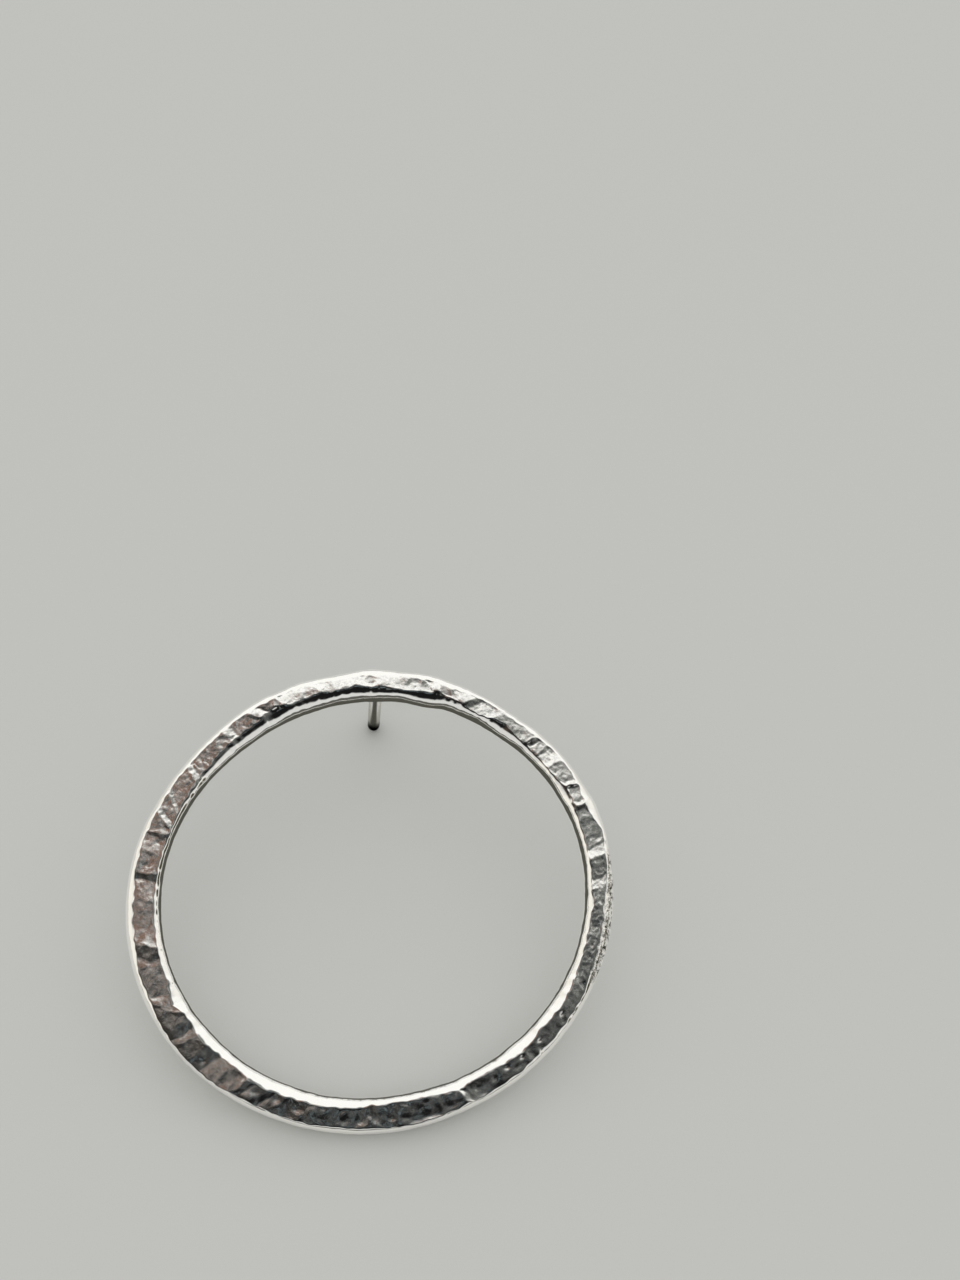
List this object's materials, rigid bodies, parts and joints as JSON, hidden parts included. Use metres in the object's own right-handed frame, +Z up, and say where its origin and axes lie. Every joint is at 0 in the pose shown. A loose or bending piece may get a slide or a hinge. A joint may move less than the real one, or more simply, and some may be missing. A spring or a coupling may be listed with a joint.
{
  "type": "hammered open circle stud earring",
  "caption": "Open circle of silver wire with a hammered flat face and round back, and a straight ear post soldered behind its top.",
  "frame": {"origin": "on the surface that the earring lies on, under the middle of its outline seen from above", "axes": "+Z up off the surface, +Y towards the ear post at the top of the circle, +X to the right when the hammered face is seen with the post at the top"},
  "size_m": [0.033, 0.0324, 0.01],
  "materials": {
    "silver": "hammered and polished sterling silver"
  },
  "bodies": {
    "root": {"hammered_circle_stud": "silver"}
  },
  "joints": []
}
